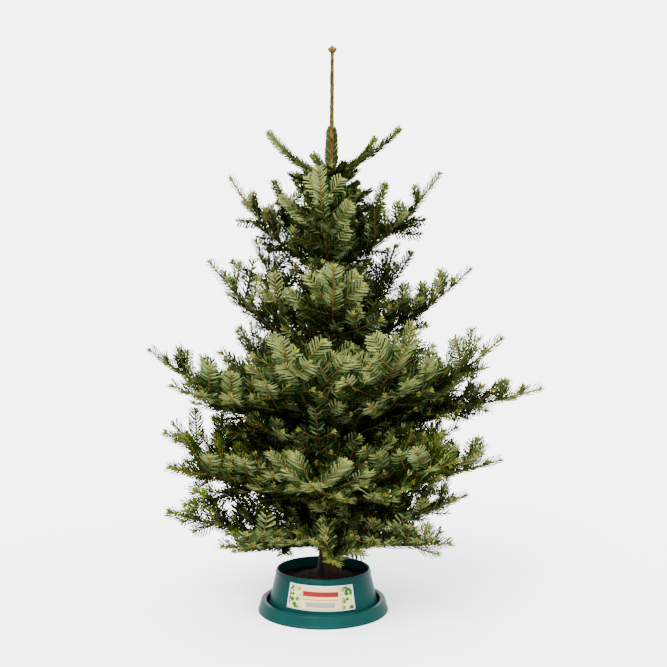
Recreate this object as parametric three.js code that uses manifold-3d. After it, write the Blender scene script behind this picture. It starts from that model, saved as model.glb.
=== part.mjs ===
// A cut Nordmann fir, sold as a Christmas tree, standing in its green plastic stand.
// Units are millimetres, +Z is up, and the origin is the centre of the stand's flat underside.
// The fir grows in whorls: each year the leader makes a ring of boughs, and each bough adds a
// year's growth with a pair of side shoots, so an old bough is a broad fan of shoots.
// The trunk and the boughs are bare tapering limbs. Beyond its first fork a bough is a mass of
// foliage, in which each shoot is one toothed blade: its stem with its two combs of needles.

import * as THREE from "three";
import { mergeVertices } from "three/addons/utils/BufferGeometryUtils.js";
import Module from "manifold-3d";

const wasm = await Module();
wasm.setup();

// ---------------------------------------------------------------- driving dimensions

const TREE_HEIGHT = 1400; // floor to the top of the leader's bud
const GAP = 0.3; // between pieces that touch
const UP = new THREE.Vector3(0, 0, 1);

// The stand: a shallow tray with a raised rim, a cone that stands in it, and its fill of soil.
const TRAY = { radius: 158.5, height: 28, floor: 6, rimOut: 152, rimIn: 138, lip: 4, bevel: 2.5 };
const CONE = { foot: 135, top: 114, height: 99.5, wall: 3, band: 10, proud: 1.2 };
const FILL = { edge: 74, mound: 87, moundRadius: 46, slope: 1.7 };

// The trunk, from the flat cut on the tray's floor to the leader's bud. It leans a little.
const TRUNK = { foot: 25, tip: 4.6, taper: 1.7, footX: 13, leanX: 9, sides: 12 };
const FLARE = { radius: 12, height: 35 };
const BUD = { radius: 11, height: 22 };

// The leader is bare near its tip and clothed with short needles above the top whorl.
const LEADER = { from: 1092, to: 1186, sleeve: 2, teeth: 3, needles: 14 };

// Whorls from the top down. A bough is [azimuth in degrees, reach, height of its tip].
// Azimuth 0 is +X, and 90 is +Y, the back of the tree. A whorl with a limb has bare boughs, of
// that radius at the trunk. The others are clothed to the trunk, and stem is their radius there.
const WHORLS = [
  {
    name: "top",
    height: 1072,
    years: 1,
    stem: 3.4,
    needles: 14,
    boughs: [
      [180, 157, 1174],
      [112, 125, 1148],
      [44, 160, 1188],
      [-10, 170, 1174],
    ],
  },
  {
    name: "second",
    height: 837,
    years: 2,
    limb: 4.6,
    needles: 17,
    boughs: [
      [176, 252, 1064],
      [132, 225, 1087],
      [50, 220, 1082],
      [-14, 270, 1056],
      [-98, 190, 1040],
    ],
  },
  {
    name: "third",
    height: 634,
    years: 3,
    limb: 5.8,
    needles: 23,
    boughs: [
      [179, 300, 852],
      [138, 275, 930],
      [50, 280, 922],
      [-9, 342, 826],
      [-88, 268, 808],
    ],
  },
  {
    name: "fourth",
    height: 448,
    years: 4,
    limb: 7.2,
    needles: 25,
    boughs: [
      [177, 450, 632],
      [130, 400, 697],
      [68, 400, 727],
      [3, 527, 535],
      [-32, 442, 654],
      [-64, 395, 660],
      [-105, 370, 647],
      [-145, 415, 552],
    ],
  },
  {
    name: "fifth",
    height: 299,
    years: 4,
    stem: 7.5,
    needles: 24,
    boughs: [
      [172, 420, 422],
      [128, 400, 404],
      [82, 400, 432],
      [38, 400, 402],
      [-4, 415, 364],
      [-48, 400, 397],
      [-95, 395, 364],
      [-142, 420, 377],
    ],
  },
  {
    name: "lowest",
    height: 172,
    years: 3,
    stem: 6.5,
    needles: 24,
    boughs: [
      [176, 400, 228],
      [120, 370, 250],
      [70, 350, 220],
      [18, 370, 254],
      [-36, 330, 202],
      [-88, 300, 188],
      [-134, 330, 206],
    ],
  },
];

// The growth rule, as shares and angles.
const RULE = {
  bendOut: 0.5, // where a bough's bend lies, as a share of its reach
  bendUp: 0.1, // and of its rise
  stagger: 7, // of the boughs of a whorl, one up and the next down
  nodePower: 0.9, // spacing of the yearly nodes along a shoot
  roll: 26, // how far a bough's fan may lean to one side, in degrees
  sideAngle: 50, // between a side shoot and its parent, in degrees
  angleSpread: 0.14,
  sideShare: 0.7, // length of a side shoot as a share of what its parent grows beyond it
  lastShare: 0.88, // the same at the last node, where the side shoots nearly keep up
  twigShare: 0.66, // the same for a side shoot's own twigs
  midShare: 0.4, // the same for the weak shoots between two nodes
  middle: 0.55, // where those stand, as a share of their year's growth
  lift: 0.4, // how far side shoots leave the fan's plane, up or down
  droop: 0.9, // 1 for as much up as down, and more for down
  curl: 0.12, // how far a side shoot's tip turns up, as a share of its length
  spread: 0.16, // random variation of lengths
  taper: 0.4, // what a bare bough loses of its radius
};

// A shoot's sections are triangles: the stem alone, a tooth of needles, or the notch between two.
const SHOOT = {
  stem: 1.8, // radius of its stem at the tip
  bare: 0.2, // the share of a year's growth that is bare beyond its node
  pitch: 58, // length of a tooth
  tooth: 0.35, // where a tooth leaves the stem, as a share of the pitch
  sweep: 0.5, // how far its outer edge is swept forwards, as a share of the pitch
  tip: 0.6, // width of the last tooth, as a share of the others
  notch: 0.35, // and of the notches
  above: 8,
  below: 2.5,
};

// ---------------------------------------------------------------- geometry helpers

// A repeatable number from 0 to 1 for a key.
function chance(key) {
  const v = Math.sin(key * 12.9898) * 43758.5453;
  return v - Math.floor(v);
}

// A factor near 1, which varies by the given share.
const vary = (key, share) => 1 + share * (2 * chance(key) - 1);

// A geometry as a manifold-3d solid, with its shared vertices merged.
function solidOf(geometry) {
  const bare = geometry.index ? geometry.toNonIndexed() : geometry.clone();
  bare.deleteAttribute("normal");
  bare.deleteAttribute("uv");
  const merged = mergeVertices(bare, 1e-3);
  const vertProperties = merged.attributes.position.array;
  const triVerts = new Uint32Array(merged.index.array);
  return new wasm.Manifold(new wasm.Mesh({ numProp: 3, vertProperties, triVerts }));
}

// A solid back as a flat-shaded geometry.
function geometryOf(solid) {
  const mesh = solid.getMesh();
  const geometry = new THREE.BufferGeometry();
  geometry.setAttribute("position", new THREE.BufferAttribute(mesh.vertProperties, 3));
  geometry.setIndex(new THREE.BufferAttribute(mesh.triVerts, 1));
  const flat = geometry.toNonIndexed();
  flat.computeVertexNormals();
  return flat;
}

// The largest body of a solid: a loose scrap that a cut leaves is dropped.
function largest(solid) {
  const bodies = solid.decompose();
  return bodies.sort((a, b) => b.volume() - a.volume())[0];
}

// The directions along a path at a share of it: ahead, to its side, and up from both.
function frameAt(path, share, side) {
  const along = path.getTangent(Math.min(share, 1));
  const above = new THREE.Vector3().crossVectors(along, side).normalize();
  return { along, above, across: new THREE.Vector3().crossVectors(above, along) };
}

// A closed tapering limb along a path: a cylinder whose rings are laid on it.
function limb(path, radiusAt, sides, steps) {
  const tube = new THREE.CylinderGeometry(1, 1, 1, sides, steps);
  const place = tube.attributes.position;
  const side = new THREE.Vector3().crossVectors(UP, path.getTangent(0.5)).normalize();
  for (let i = 0; i < place.count; i++) {
    const share = place.getY(i) + 0.5;
    const { above, across } = frameAt(path, share, side);
    const at = path.getPoint(share);
    at.addScaledVector(above, place.getZ(i) * radiusAt(share));
    at.addScaledVector(across, -place.getX(i) * radiusAt(share));
    place.setXYZ(i, at.x, at.y, at.z);
  }
  return solidOf(tube);
}

// A solid turned about +Z from a profile of [radius, height] points.
function turned(profile, segments = 40) {
  const points = profile.map(([radius, height]) => new THREE.Vector2(radius, height));
  const lathe = new THREE.LatheGeometry(points, segments);
  lathe.rotateX(Math.PI / 2);
  return solidOf(lathe);
}

// ---------------------------------------------------------------- trunk

const BUD_FOOT = TREE_HEIGHT - BUD.height;

// The trunk's axis is a straight line from the foot to the bud.
function trunkCentre(height) {
  return new THREE.Vector3(TRUNK.footX + (TRUNK.leanX * height) / TREE_HEIGHT, 0, height);
}

// Its radius at a height: an even taper with a root flare at the foot, then the bud.
function trunkRadius(height) {
  if (height > BUD_FOOT) {
    const turn = Math.PI * (0.2 + (0.75 * (height - BUD_FOOT)) / BUD.height);
    return BUD.radius * Math.sin(turn);
  }
  const above = Math.max(height - FILL.edge, 0);
  const left = 1 - above / (TREE_HEIGHT - FILL.edge);
  const taper = TRUNK.tip + (TRUNK.foot - TRUNK.tip) * Math.pow(left, TRUNK.taper);
  return taper + FLARE.radius * Math.exp(-above / FLARE.height);
}

// A solid turned about the trunk's axis, with a ring at each height.
function onTrunk(heights, radiusAt, sides) {
  const tube = new THREE.CylinderGeometry(1, 1, 1, sides, heights.length - 1);
  const place = tube.attributes.position;
  for (let i = 0; i < place.count; i++) {
    const height = heights[Math.round((place.getY(i) + 0.5) * (heights.length - 1))];
    const centre = trunkCentre(height);
    const radius = radiusAt(height);
    place.setXYZ(i, centre.x + place.getX(i) * radius, -place.getZ(i) * radius, height);
  }
  return solidOf(tube);
}

// Its rings are closer together at the flare and at the bud.
function makeTrunk(grow) {
  const foot = TRAY.floor + GAP - (grow ? TRAY.floor : 0);
  const flare = [52, 76, 90, 107, 132].filter((height) => height > foot);
  const whorls = WHORLS.map((whorl) => whorl.height).reverse();
  const bud = [0, 0.36, 0.72, 1].map((share) => BUD_FOOT + BUD.height * share);
  const heights = [foot, ...flare, ...whorls, LEADER.to, ...bud];
  return onTrunk(heights, (height) => trunkRadius(height) + grow, TRUNK.sides);
}

const trunk = makeTrunk(0);
const trunkSpace = makeTrunk(GAP * 1.2); // what the other pieces are cut clear of

// ---------------------------------------------------------------- stand

const coneRadius = (height) =>
  CONE.foot + ((CONE.top - CONE.foot) * (height - TRAY.floor)) / (CONE.height - TRAY.floor);

const tray = turned([
  [0, 0],
  [TRAY.radius, 0],
  [TRAY.radius, TRAY.lip],
  [TRAY.radius - TRAY.bevel, TRAY.lip + TRAY.bevel],
  [TRAY.rimOut, TRAY.height - TRAY.bevel],
  [TRAY.rimOut - TRAY.bevel, TRAY.height],
  [TRAY.rimIn + TRAY.bevel, TRAY.height],
  [TRAY.rimIn, TRAY.height - TRAY.bevel],
  [TRAY.rimIn - 1, TRAY.floor],
  [0, TRAY.floor],
]);

const bandFoot = CONE.height - CONE.band;
const cone = turned([
  [CONE.foot, TRAY.floor + GAP],
  [coneRadius(bandFoot), bandFoot],
  [coneRadius(bandFoot) + CONE.proud, bandFoot + 1.5],
  [CONE.top + CONE.proud, CONE.height - 2],
  [CONE.top, CONE.height],
  [CONE.top - CONE.wall + 1, CONE.height],
  [CONE.top - CONE.wall, CONE.height - 2],
  [CONE.foot - CONE.wall, TRAY.floor + GAP],
  [CONE.foot, TRAY.floor + GAP],
]);

const fillRoom = CONE.wall + GAP * 1.5;
const fill = turned([
  [0, TRAY.floor + GAP],
  [CONE.foot - fillRoom, TRAY.floor + GAP],
  [coneRadius(FILL.edge) - fillRoom, FILL.edge],
  [FILL.moundRadius * FILL.slope, FILL.edge + 2],
  [FILL.moundRadius, FILL.mound],
  [0, FILL.mound],
]).subtract(trunkSpace);

// ---------------------------------------------------------------- growth rule

// The path of a bough, in the upright plane of its azimuth: it leaves level and sweeps up.
function boughPath(whorl, [azimuth, reach, tipHeight], stagger) {
  const turn = THREE.MathUtils.degToRad(azimuth);
  const out = new THREE.Vector3(Math.cos(turn), Math.sin(turn), 0);
  const root = trunkCentre(whorl.height + stagger);
  const rise = tipHeight - root.z;
  const bend = root.clone().addScaledVector(out, reach * RULE.bendOut);
  bend.addScaledVector(UP, rise * RULE.bendUp);
  const tip = root.clone().addScaledVector(out, reach).addScaledVector(UP, rise);
  return new THREE.QuadraticBezierCurve3(root, bend, tip);
}

// Across a bough's fan. Each fan leans a little its own way.
function fanSide(path, key) {
  const lean = THREE.MathUtils.degToRad(RULE.roll * (2 * chance(key) - 1));
  const side = new THREE.Vector3().crossVectors(UP, path.getTangent(0.9)).normalize();
  return side.applyAxisAngle(path.getTangent(0.6), lean);
}

// Where a shoot of some years forks: the share of its path at each yearly node.
function nodeShares(years) {
  return Array.from({ length: years + 1 }, (_, j) => Math.pow(j / years, RULE.nodePower));
}

// A pair of side shoots, at a share of their parent's path. Each is a shallow curve that leaves
// near the parent's fan and turns up at its tip.
function sideShoots(parent, share, side, lengthShare, years, key) {
  const at = parent.path.getPoint(share);
  const { along, above, across } = frameAt(parent.path, share, side);
  return [1, -1].map((hand, i) => {
    const own = key * 2 + i;
    const angle = THREE.MathUtils.degToRad(RULE.sideAngle * vary(own + 0.5, RULE.angleSpread));
    const heading = along.clone().multiplyScalar(Math.cos(angle));
    heading.addScaledVector(across, hand * Math.sin(angle));
    heading.addScaledVector(above, RULE.lift * (2 * chance(own + 0.25) - RULE.droop));
    heading.normalize();
    const length = parent.length * (1 - share) * lengthShare * vary(own, RULE.spread);
    const middle = at.clone().addScaledVector(heading, length / 2);
    const tip = at.clone().addScaledVector(heading, length).addScaledVector(UP, RULE.curl * length);
    const path = new THREE.QuadraticBezierCurve3(at, middle, tip);
    const ownSide = new THREE.Vector3().crossVectors(above, heading).normalize();
    return { path, length, side: ownSide, years, key: own };
  });
}

// ---------------------------------------------------------------- shoots

// The sections of a shoot beyond a share of its path: each year's growth is bare beyond its
// node, then toothed. A side shoot has no bare foot, because it tapers into its parent.
function shootSections({ path, years, needles, first, stem, isSide }) {
  const shares = nodeShares(years);
  const sections = [];
  const stemAt = (share) => {
    const radius = SHOOT.stem + (stem - SHOOT.stem) * (1 - share);
    sections.push({ share, half: radius, above: radius, below: radius, sweep: 0 });
  };
  const needlesAt = (share, width, sweep) => {
    const half = needles * width;
    sections.push({ share, half, above: SHOOT.above, below: SHOOT.below, sweep });
  };
  for (let j = 0; j < years; j++) {
    const from = Math.max(shares[j], first);
    const span = shares[j + 1] - from;
    if (span <= 0) continue;
    const clothed = from + span * SHOOT.bare;
    if (j > 0 || !isSide) {
      stemAt(from);
      stemAt(clothed);
    }
    const teeth = Math.max(1, Math.round(((shares[j + 1] - clothed) * path.getLength()) / SHOOT.pitch));
    const pitch = (shares[j + 1] - clothed) / teeth;
    for (let k = 0; k < teeth; k++) {
      const isLast = j === years - 1 && k === teeth - 1;
      if (k > 0) needlesAt(clothed + pitch * k, SHOOT.notch, pitch * 0.1);
      needlesAt(clothed + pitch * (k + SHOOT.tooth), isLast ? SHOOT.tip : 1, pitch * SHOOT.sweep);
    }
  }
  return sections;
}

// One shoot as a closed solid: flat below, where the needles part in two combs, and ridged
// above. It ends in a point, and a side shoot starts in one, at its parent's heart.
function makeShoot(shoot) {
  const { path, side, isSide } = shoot;
  const points = [];
  const put = (share, y, z) => {
    const { above } = frameAt(path, share, side);
    points.push(path.getPoint(Math.min(share, 1)).addScaledVector(side, y).addScaledVector(above, z));
  };
  if (isSide) put(0, 0, 0);
  for (const { share, half, above, below, sweep } of shootSections(shoot)) {
    put(share + sweep, half, -below);
    put(share, 0, above);
    put(share + sweep, -half, -below);
  }
  put(1, 0, 0);
  const start = isSide ? 1 : 0;
  const tip = points.length - 1;
  const triangles = [];
  const face = (...corners) => corners.forEach((corner) => triangles.push(points[corner]));
  if (!isSide) face(0, 2, 1);
  for (let i = 0; i < 3; i++) {
    const next = (i + 1) % 3;
    if (isSide) face(0, 1 + next, 1 + i);
    for (let r = start; r + 3 < tip; r += 3) {
      face(r + i, r + next, r + 3 + next);
      face(r + i, r + 3 + next, r + 3 + i);
    }
    face(tip - 3 + i, tip - 3 + next, tip);
  }
  return solidOf(new THREE.BufferGeometry().setFromPoints(triangles));
}

// ---------------------------------------------------------------- nodes

const group = new THREE.Group();
const taken = []; // limbs and foliage in place, each with its owner

const BARK = new THREE.MeshStandardMaterial({ color: 0x6b5038, roughness: 0.9 });
const TWIG = new THREE.MeshStandardMaterial({ color: 0x8a6a45, roughness: 0.85 });
const NEEDLES = new THREE.MeshStandardMaterial({ color: 0x3f6b38, roughness: 0.6 });
const PLASTIC = new THREE.MeshStandardMaterial({ color: 0x14584f, roughness: 0.4 });
const SOIL = new THREE.MeshStandardMaterial({ color: 0x3a281c, roughness: 1 });

function take(solid, owner) {
  taken.push({ solid, owner, box: solid.boundingBox() });
}

function addNode(name, solid, material, owner = name) {
  const mesh = new THREE.Mesh(geometryOf(solid), material);
  mesh.name = name;
  group.add(mesh);
  take(solid, owner);
}

function boxesMeet(a, b, room) {
  return [0, 1, 2].every((k) => a.min[k] < b.max[k] + room && b.min[k] < a.max[k] + room);
}

// Whether a piece keeps clear of everything that another owner has in place.
function isClear(solid, owner) {
  const box = solid.boundingBox();
  return taken.every((other) => {
    if (other.owner === owner || !boxesMeet(box, other.box, 1)) return true;
    return solid.minGap(other.solid, 1) > GAP * 1.5;
  });
}

// The foliage of one bough: its stem to the tip, the side shoots, and their twigs. A shoot that
// would touch a limb or another mass isn't grown.
function makeMass(bough) {
  const { label, years, needles, side, key, limbSpace } = bough;
  const parts = [makeShoot(bough)];
  const grow = (shoot) => {
    const made = makeShoot({ ...shoot, needles, first: 0, stem: SHOOT.stem, isSide: true });
    if (!isClear(made, label)) return false;
    parts.push(made);
    return true;
  };
  const shares = nodeShares(years);
  for (let j = 1; j < years; j++) {
    const share = j === years - 1 ? RULE.lastShare : RULE.sideShare;
    for (const shoot of sideShoots(bough, shares[j] + 0.02, side, share, years - j, key * 100 + j * 10)) {
      if (!grow(shoot)) continue;
      const forks = nodeShares(shoot.years);
      for (let i = 1; i < shoot.years; i++) {
        const twigKey = shoot.key * 7 + i;
        sideShoots(shoot, forks[i], shoot.side, RULE.twigShare, 1, twigKey).forEach(grow);
      }
    }
  }
  for (let j = 1; j < years; j++) {
    const middle = shares[j] + (shares[j + 1] - shares[j]) * RULE.middle;
    sideShoots(bough, middle, side, RULE.midShare, 1, key * 100 + j * 10 + 5).forEach(grow);
  }
  let mass = wasm.Manifold.union(parts).subtract(trunkSpace);
  if (limbSpace) mass = mass.subtract(limbSpace);
  addNode(`foliage_${label}`, largest(mass), NEEDLES, label);
}

// A bough's plan, with its bare limb up to the first fork where its whorl has one.
function makeBough(whorl, row, index, key) {
  const path = boughPath(whorl, row, index % 2 ? RULE.stagger : -RULE.stagger);
  const length = path.getLength();
  const label = `${whorl.name}_${index + 1}`;
  const bough = { ...whorl, label, path, length, side: fanSide(path, key), key, first: 0 };
  if (whorl.limb) {
    const fork = nodeShares(whorl.years)[1];
    const limbPath = new THREE.CatmullRomCurve3([0, 1, 2, 3, 4].map((i) => path.getPoint((fork * i) / 4)));
    const radiusAt = (share) => whorl.limb * (1 - RULE.taper * share);
    const bare = limb(limbPath, radiusAt, 6, 4).subtract(trunkSpace);
    bough.limbSpace = limb(limbPath, (share) => radiusAt(share) + GAP, 6, 4);
    bough.first = fork + GAP / length;
    bough.stem = radiusAt(1);
    addNode(`bough_${label}`, largest(bare), TWIG, label);
  }
  take(makeShoot(bough), label);
  return bough;
}

// Short needles clothe the foot of the leader: a thin sleeve, and crossed blades on it.
function makeLeaderSpray() {
  const length = LEADER.to - LEADER.from;
  const heights = [0, 0.25, 0.5, 0.75, 1].map((share) => LEADER.from + length * share);
  const sleeve = onTrunk(heights, (height) => trunkRadius(height) + LEADER.sleeve, 8);
  const path = new THREE.LineCurve3(trunkCentre(LEADER.from), trunkCentre(LEADER.to));
  const plan = { path, years: LEADER.teeth, needles: LEADER.needles, first: 0, stem: LEADER.sleeve };
  const sides = [new THREE.Vector3(0, 1, 0), new THREE.Vector3(1, 0, 0)];
  const blades = sides.map((side) => makeShoot({ ...plan, side }));
  return largest(wasm.Manifold.union([sleeve, ...blades]).subtract(trunkSpace));
}

addNode("trunk", trunk, BARK);
addNode("stand_tray", tray, PLASTIC);
addNode("stand_cone", cone, PLASTIC);
addNode("stand_fill", fill, SOIL);
addNode("foliage_leader", makeLeaderSpray(), NEEDLES);

// All limbs and stems have their place before any side shoot grows.
const boughs = WHORLS.flatMap((whorl, w) =>
  whorl.boughs.map((row, index) => makeBough(whorl, row, index, (w + 1) * 10 + index)),
);
boughs.forEach(makeMass);

export default group;
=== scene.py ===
# %% [markdown]
# A cut Nordmann fir in its stand, about 1.4 m tall. The CAD model gives the tree's plan: a trunk,
# whorls of boughs, and a flat mass of foliage on each bough. This lesson lets that plan grow on to
# what makes a fir look like a fir: bark, thin twigs, buds, and about 160,000 needles. It is
# written for someone who is learning Blender.

import math

import bmesh
import bpy
import numpy as np
from mathutils import Matrix, Vector, noise


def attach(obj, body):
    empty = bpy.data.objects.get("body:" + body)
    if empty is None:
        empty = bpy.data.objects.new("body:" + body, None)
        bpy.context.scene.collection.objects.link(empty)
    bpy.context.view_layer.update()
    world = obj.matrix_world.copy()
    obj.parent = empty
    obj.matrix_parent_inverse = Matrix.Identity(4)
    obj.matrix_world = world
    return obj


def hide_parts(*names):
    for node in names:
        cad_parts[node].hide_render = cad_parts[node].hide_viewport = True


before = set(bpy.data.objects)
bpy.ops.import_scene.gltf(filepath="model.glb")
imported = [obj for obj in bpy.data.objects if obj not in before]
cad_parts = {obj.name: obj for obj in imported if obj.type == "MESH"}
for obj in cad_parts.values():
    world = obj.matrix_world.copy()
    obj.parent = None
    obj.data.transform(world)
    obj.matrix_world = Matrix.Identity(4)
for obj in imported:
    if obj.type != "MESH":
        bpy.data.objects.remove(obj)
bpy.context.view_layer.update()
MM = 0.001


def in_scene(name, data):
    """A new object in the scene, at the origin and unturned."""
    item = bpy.data.objects.new(name, data)
    bpy.context.scene.collection.objects.link(item)
    return item


# %% [markdown]
# The camera stands two metres in front of the tree, 61 cm up, and looks up very slightly.

# %% Camera
LOOK_UP = 1.75  # degrees above level
camera = bpy.data.cameras.new("camera")
camera.sensor_width = 36.0
camera.lens = 43.2
camera.clip_end = 200.0
camera_object = in_scene("camera", camera)
camera_object.location = (0.025, -1.982, 0.613)
camera_object.rotation_euler = (math.radians(90 + LOOK_UP), 0.0, 0.0)
bpy.context.scene.camera = camera_object
print("camera lens", camera.lens, "mm")


# %% [markdown]
# Shader maths reads best as plain sums. The class Wire wraps one output of a node, and its +, -
# and * add Math nodes. The class Finish is a material in the making, and its node() adds any
# node: the settings first, then the values or wires of its sockets.

# %% Shader helpers
class Wire:
    """An output of a node, which can be used in sums."""

    def __init__(self, finish, socket):
        self.finish = finish
        self.socket = socket

    def _with(self, operation, first, second):
        return self.finish.node("ShaderNodeMath", {"operation": operation}, [first, second])

    def __add__(self, other):
        return self._with("ADD", self, other)

    def __sub__(self, other):
        return self._with("SUBTRACT", self, other)

    def __rsub__(self, other):
        return self._with("SUBTRACT", other, self)

    def __mul__(self, other):
        return self._with("MULTIPLY", self, other)

    __radd__ = __add__


class Finish:
    """A material whose look is worked out by nodes."""

    def __init__(self, name, **fixed):
        self.material = bpy.data.materials.new(name)
        self.material.use_nodes = True
        self.tree = self.material.node_tree
        self.shader = self.tree.nodes["Principled BSDF"]
        for socket, value in fixed.items():
            self.shader.inputs[socket.replace("_", " ").title().replace("Ior", "IOR")].default_value = value

    def node(self, kind, settings=None, values=None, output=0):
        """Adds a node. Values go to its usable sockets in order, or by name from a dict."""
        made = self.tree.nodes.new(kind)
        for key, value in (settings or {}).items():
            setattr(made, key, value)
        usable = [s for s in made.inputs if not s.is_unavailable]
        pairs = values.items() if isinstance(values, dict) else enumerate(values or [])
        for key, value in pairs:
            socket = usable[key] if isinstance(key, int) else next(s for s in usable if s.name == key)
            self.set(socket, value)
        outputs = [s for s in made.outputs if not s.is_unavailable]
        return Wire(self, outputs[output])

    def set(self, socket, value):
        if isinstance(value, Wire):
            self.tree.links.new(value.socket, socket)
        else:
            socket.default_value = value

    def place(self):
        return self.node("ShaderNodeTexCoord", output=3)

    def noise(self, scale, detail=3.0, stretch=(1, 1, 1)):
        spot = self.node("ShaderNodeMapping", values={"Vector": self.place(), "Scale": stretch})
        return self.node("ShaderNodeTexNoise", values={"Vector": spot, "Scale": scale, "Detail": detail})

    def steps(self, value, low, high):
        """0 below low, 1 above high, and smooth between."""
        settings = {"interpolation_type": "SMOOTHSTEP"}
        return self.node("ShaderNodeMapRange", settings, [value, low, high, 0.0, 1.0])

    def blend(self, share, first, second):
        return self.node("ShaderNodeMix", {"data_type": "RGBA"}, [share, rgba(first), rgba(second)])

    def wear(self, colour=None, roughness=None, bump=None, depth=0.001):
        if colour is not None:
            self.set(self.shader.inputs["Base Color"], colour)
        if roughness is not None:
            self.set(self.shader.inputs["Roughness"], roughness)
        if bump is not None:
            lift = self.node("ShaderNodeBump", values={"Distance": depth, "Height": bump})
            self.set(self.shader.inputs["Normal"], lift)
        return self.material


def rgba(colour):
    return colour if isinstance(colour, Wire) else (*colour, 1.0)


print("helpers ready")

# %% [markdown]
# Bark. A young fir's bark is thin and fairly smooth: grey-brown and fissured at the foot, warm
# brown higher up, and tan on the last years' growth. Two noises do this: one stretched upward for
# the fibres and their bump, and one even for stains. Bark is nearly matt, so its shine is turned
# down, or it would turn grey under a bright sky.

# %% Bark finishes
MATT_SHINE = 0.08


def bark_finish(name, dark, light, scale, depth):
    bark = Finish(name, specular_ior_level=MATT_SHINE)
    fibre = bark.noise(scale, 5.0, (1.0, 1.0, 0.25))
    stain = bark.noise(scale * 0.35, 3.0)
    share = bark.steps(fibre * 0.6 + stain * 0.4, 0.38, 0.62)
    return bark.wear(bark.blend(share, dark, light), 0.95 - share * 0.15, fibre, depth)


trunk_bark = bark_finish("trunk_bark", (0.00192, 0.0008, 0.00024), (0.0104, 0.0044, 0.00144), 90, 0.0012)
bough_bark = bark_finish("bough_bark", (0.0096, 0.004, 0.0008), (0.0336, 0.0152, 0.0036), 160, 0.0006)
leader_bark = bark_finish("leader_bark", (0.0096, 0.00496, 0.00048), (0.0416, 0.0228, 0.0024), 260, 0.0008)
twig_bark = bark_finish("twig_bark", (0.016, 0.0068, 0.0012), (0.052, 0.024, 0.0048), 220, 0.0004)
young_bark = bark_finish("young_bark", (0.032, 0.0172, 0.0016), (0.076, 0.0416, 0.0048), 260, 0.0004)
bud_scales = bark_finish("bud_scales", (0.035, 0.016, 0.0025), (0.095, 0.047, 0.009), 420, 0.0003)
print("last bark finish", bud_scales.name)

# %% [markdown]
# Needles. A Nordmann needle is dark and glossy above, and has two pale bands of wax below, so the
# same shoot looks deep green from over it and silver-green from under it. Every needle has two
# materials for that. Which green it gets is dealt out by the spray: old wood has the darkest,
# this year's shoots are fresher, and the last needles round a bud are yellow-green.

# %% Needle finishes
GREENS = {  # name: colour above, colour below
    "old": ((0.00089, 0.00311, 0.00015), (0.00148, 0.00407, 0.00059)),
    "deep": ((0.00355, 0.00903, 0.00044), (0.00555, 0.01073, 0.00192)),
    "grown": ((0.00851, 0.01813, 0.00104), (0.0148, 0.02368, 0.00577)),
    "fresh": ((0.01776, 0.03256, 0.00148), (0.037, 0.0518, 0.0185)),
    "bright": ((0.037, 0.0592, 0.00185), (0.0851, 0.10212, 0.0333)),
    "tip": ((0.074, 0.0851, 0.00222), (0.1184, 0.1221, 0.01776)),
}
needle_finishes = []
for name, (above, below) in GREENS.items():
    for face, colour, gloss, shine in (("above", above, 0.42, 0.03), ("below", below, 0.6, 0.0)):
        needle = Finish(f"needle_{name}_{face}", roughness=gloss, specular_ior_level=shine)
        needle_finishes.append(needle.wear(rgba(colour)))
TONE = {name: i for i, name in enumerate(GREENS)}
print("needle finishes", len(needle_finishes))


# %% [markdown]
# How the tree grows. This is the CAD model's rule, written again in metres. A bough leaves the
# trunk and sweeps up to its tip. Each year ends in a node, where two side shoots leave in the
# plane of the bough's fan, and they fork in the same way. The seeded function chance() gives
# every shoot its own small differences, the same ones on every run. Three points are enough for
# a curve, because a shoot bends only one way.

# %% Growth: curves
def chance(key):
    """A number from 0 to 1 that looks random, and is the same for the same key."""
    value = math.sin(key * 12.9898) * 43758.5453
    return value - math.floor(value)


def vary(key, share):
    """A factor near 1: at most that share more or less."""
    return 1 + share * (2 * chance(key) - 1)


def unit(vectors):
    vectors = np.asarray(vectors, float)
    return vectors / np.linalg.norm(vectors, axis=-1, keepdims=True)


UP = np.array([0.0, 0.0, 1.0])


class Curve:
    """The line of a shoot: where it leaves, where it is heading, and its tip."""

    def __init__(self, start, bend, tip, side):
        self.start, self.bend, self.tip, self.side = start, bend, tip, side
        self.length = float(np.linalg.norm(np.diff(self.at(np.linspace(0, 1, 30)), axis=0), axis=1).sum())

    def at(self, share):
        t = np.atleast_1d(share)[:, None]
        return (1 - t) ** 2 * self.start + 2 * t * (1 - t) * self.bend + t * t * self.tip

    def along(self, share):
        t = np.atleast_1d(share)[:, None]
        return unit((1 - t) * (self.bend - self.start) + t * (self.tip - self.bend))

    def frame(self, share):
        """Ahead, across the fan, and up from it, at each share."""
        along = self.along(share)
        above = unit(np.cross(along, self.side))
        return along, np.cross(above, along), above


print("chance(1) =", round(chance(1), 4))

# %% [markdown]
# The plan is the CAD model's own: the trunk's taper and lean, and for each bough its azimuth in
# degrees, and its reach and the height of its tip in millimetres. This lesson adds one value to
# some boughs, the fullness: below 1 it shortens their side shoots, so they stay slim brushes.
# Boughs of a whorl leave the trunk a few millimetres up or down in turn.

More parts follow.
